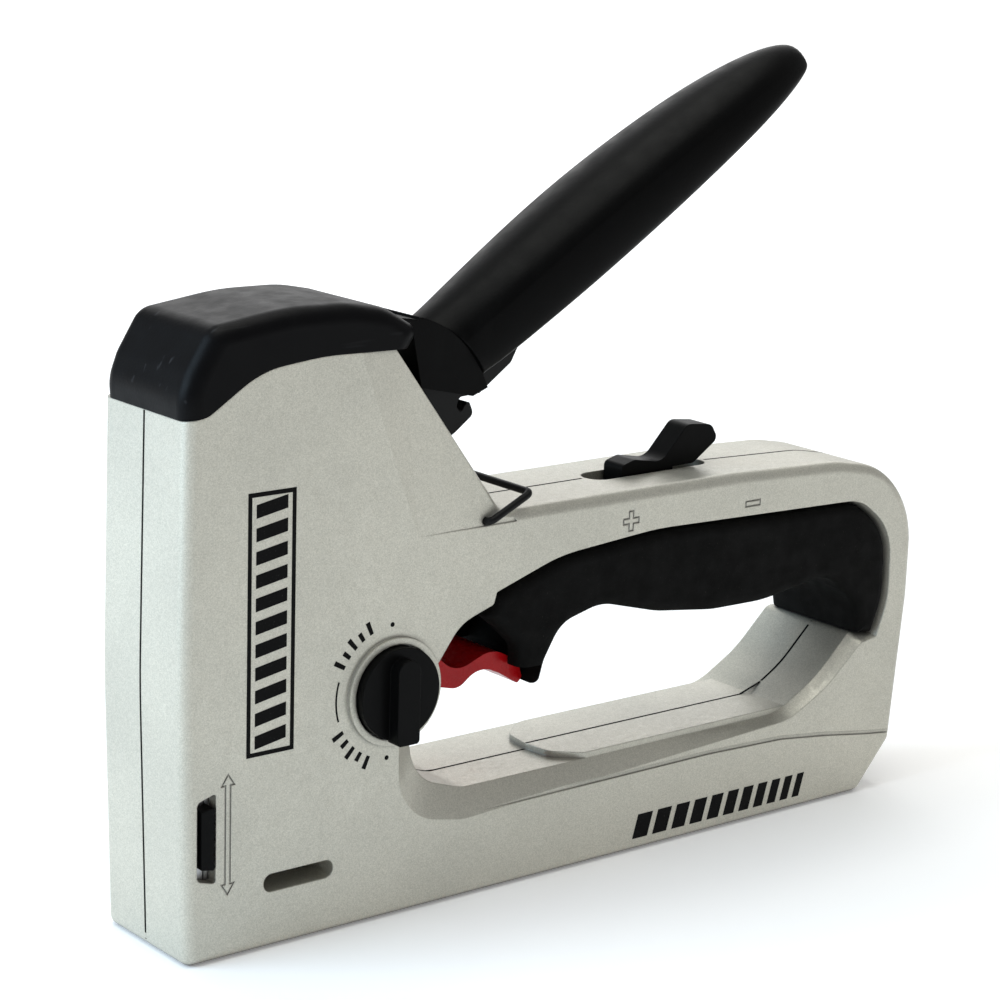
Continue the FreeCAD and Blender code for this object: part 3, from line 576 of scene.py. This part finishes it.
def seam(name, points, direction):
    """Thin dark band where the two shells meet."""
    inward = Vector(direction) * SEAM_DEPTH * MM
    side = Vector((0, SEAM_HALF * MM, 0))
    rings = [[p - side, p + side, p + side + inward, p - side + inward] for p in points]
    mesh = mesh_from(name, lambda drawing: skin(drawing, rings))
    add_piece(name, mesh, SEAM_SHADOW, "tool_body")


for seam_name, ray_starts, ray_direction in SEAM_RUNS:
    seam(seam_name, surface_run(ray_starts, ray_direction), ray_direction)


# ---------------------------------------------------------------- handle

HANDLE_PIVOT = (50.0, 97.0)
HANDLE_SLOPE = math.radians(32.3)
# The grip's front end is rounded about the pivot.
ROOT_RADIUS = 26.0
# Along the handle: distance from the pivot, half width, underside, shoulder and crown.
GRIP_STATIONS = [
    (27.0, 9.9, -3.2, 6.4, 12.0),
    (32.0, 10.4, -3.6, 6.8, 12.0),
    (40.0, 11.0, -3.7, 7.2, 12.2),
    (54.0, 11.9, -3.8, 7.6, 12.6),
    (68.0, 12.2, -3.8, 7.7, 12.8),
    (82.0, 12.15, -3.7, 7.1, 12.4),
    (96.0, 11.7, -3.5, 6.1, 11.5),
    (108.0, 10.8, -3.4, 4.9, 10.3),
    (118.0, 9.5, -3.2, 3.7, 8.7),
    (126.0, 7.7, -3.0, 2.4, 7.0),
    (132.0, 5.6, -2.8, 1.0, 4.9),
    (136.0, 3.2, -2.6, -0.4, 2.4),
]
# One side of the grip's section. Each pair starts with a share of the half width. The second value is
# millimetres above the underside, a share of the flank's height, or a share of the crown's rise.
UNDERSIDE = ((0.45, 0.0), (0.88, 0.25))
FLANK = ((1.0, 0.28), (0.985, 0.70))
CROWN = ((0.935, 0.0), (0.84, 0.34), (0.62, 0.70), (0.32, 0.93))
SHOULDER = len(UNDERSIDE) + len(FLANK)
SHOULDER_CREASE = 0.85
ROOT_CREASE = 0.9
ROUNDING_LEVELS = 3


def grip_section(half, low, shoulder, crown):
    """Closed section of the grip, as pairs of across and up, from the +y underside over the crown."""
    flank = shoulder - low
    rise = crown - shoulder
    side = [(share * half, low + lift) for share, lift in UNDERSIDE]
    side += [(share * half, low + height * flank) for share, height in FLANK]
    side += [(share * half, shoulder + height * rise) for share, height in CROWN]
    return side + [(0.0, crown)] + [(-across, up) for across, up in reversed(side)]


def grip_ring(station, root=False):
    """Section's points at one station, or on the rounded front end."""
    along, *section = station
    forward = Vector((math.cos(HANDLE_SLOPE), 0, math.sin(HANDLE_SLOPE)))
    upward = Vector((-math.sin(HANDLE_SLOPE), 0, math.cos(HANDLE_SLOPE)))
    pivot = Vector((HANDLE_PIVOT[0], 0, HANDLE_PIVOT[1]))
    points = []
    for across, up in grip_section(*section):
        reach = math.sqrt(ROOT_RADIUS ** 2 - up ** 2) if root else along
        spot = pivot + forward * reach + upward * up
        points.append(place(spot.x, across, spot.z))
    return points


def crease_grip(mesh, count):
    """Sharpens the two shoulders and the front end's rim, on rings of that many points."""
    crease = mesh.attributes.new("crease_edge", "FLOAT", "EDGE")
    shoulders = (SHOULDER, count - 1 - SHOULDER)
    for edge in mesh.edges:
        first, second = edge.vertices
        if first % count == second % count and first % count in shoulders:
            crease.data[edge.index].value = SHOULDER_CREASE
        elif first < count and second < count:
            crease.data[edge.index].value = ROOT_CREASE


def handle_grip():
    """Moulded grip with a crowned back and a crease where the back meets each flank."""
    rings = [grip_ring(GRIP_STATIONS[0], root=True)] + [grip_ring(station) for station in GRIP_STATIONS]
    mesh = mesh_from("handle_grip_skin", lambda drawing: skin(drawing, rings))
    for polygon in mesh.polygons:
        polygon.use_smooth = True
    piece = add_piece("handle_grip_skin", mesh, HANDLE_BLACK, "handle")
    crease_grip(mesh, len(rings[0]))
    rounding = piece.modifiers.new("rounding", "SUBSURF")
    rounding.levels = ROUNDING_LEVELS
    rounding.render_levels = ROUNDING_LEVELS
    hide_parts("handle_grip")


handle_grip()


# ---------------------------------------------------------------- pusher's spring


def pusher_coil():
    """The pusher's spring as its own mesh, in place of the hidden sub-part."""
    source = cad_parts["pusher_spring"]
    mesh = source.data.copy()
    mesh.transform(source.matrix_world)
    mesh.materials.clear()
    piece = add_piece("pusher_coil", mesh, SPRING, "magazine")
    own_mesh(piece)
    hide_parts("pusher_spring")


pusher_coil()


# ---------------------------------------------------------------- studio

# In the frame's own metres.
CAMERA_PLACE = Vector((-0.37127, -0.44640, 0.21915))
CAMERA_RIGHT = Vector((0.7828, -0.6216, 0.0292))
CAMERA_BACK = Vector((-0.6096, -0.7565, 0.2370))
CAMERA_LENS = 101.7
SENSOR_WIDTH = 36.0
NEAR_CLIP = 0.01

WHITE = (1, 1, 1)
COOL = (0.62, 0.82, 1.0)
WARM = (1.0, 1.0, 0.95)
WORLD_STRENGTH = 0.34
FLOOR_HALF = 6.0
# Place, aim, width and height, watts and colour.
SOFTBOXES = {
    "front_light": ((-0.95, 0.25, 0.55), (0, 0, 0.07), (0.8, 0.8), 11, COOL),
    "back_light": ((0.85, 1.15, 0.75), (0, 0, 0.08), (1.6, 0.9), 6.5, WHITE),
    "top_light": ((0.0, 0.1, 1.3), (0, 0, 0.05), (1.0, 1.0), 9, WARM),
}


def camera():
    """Camera at the photograph's viewing angle."""
    data = bpy.data.cameras.new("camera")
    data.lens = CAMERA_LENS
    data.sensor_width = SENSOR_WIDTH
    data.clip_start = NEAR_CLIP
    item = bpy.data.objects.new("camera", data)
    bpy.context.scene.collection.objects.link(item)
    back = CAMERA_BACK.normalized()
    right = (CAMERA_RIGHT - back * CAMERA_RIGHT.dot(back)).normalized()
    turn = Matrix((right, back.cross(right), back)).transposed()
    item.matrix_world = Matrix.Translation(CAMERA_PLACE) @ turn.to_4x4()
    bpy.context.scene.camera = item


def softbox(name, spot, target, size, power, colour):
    """Rectangular area light that points at a target."""
    data = bpy.data.lights.new(name, "AREA")
    data.shape = "RECTANGLE"
    data.size, data.size_y = size
    data.energy = power
    data.color = colour
    item = bpy.data.objects.new(name, data)
    bpy.context.scene.collection.objects.link(item)
    item.location = spot
    item.rotation_euler = (Vector(target) - Vector(spot)).to_track_quat("-Z", "Y").to_euler()


def paper_floor():
    mesh = mesh_from("floor", lambda drawing: bmesh.ops.create_grid(
        drawing, x_segments=1, y_segments=1, size=FLOOR_HALF))
    floor = bpy.data.objects.new("floor", mesh)
    bpy.context.scene.collection.objects.link(floor)
    mesh.materials.append(studio_floor())


def surroundings():
    """Even white light from all round."""
    world = bpy.data.worlds.new("studio")
    bpy.context.scene.world = world
    world.use_nodes = True
    background = world.node_tree.nodes["Background"]
    background.inputs["Color"].default_value = (*WHITE, 1)
    background.inputs["Strength"].default_value = WORLD_STRENGTH


camera()
paper_floor()
surroundings()
for light_name, light in SOFTBOXES.items():
    softbox(light_name, *light)
bpy.context.scene.view_settings.view_transform = "Standard"
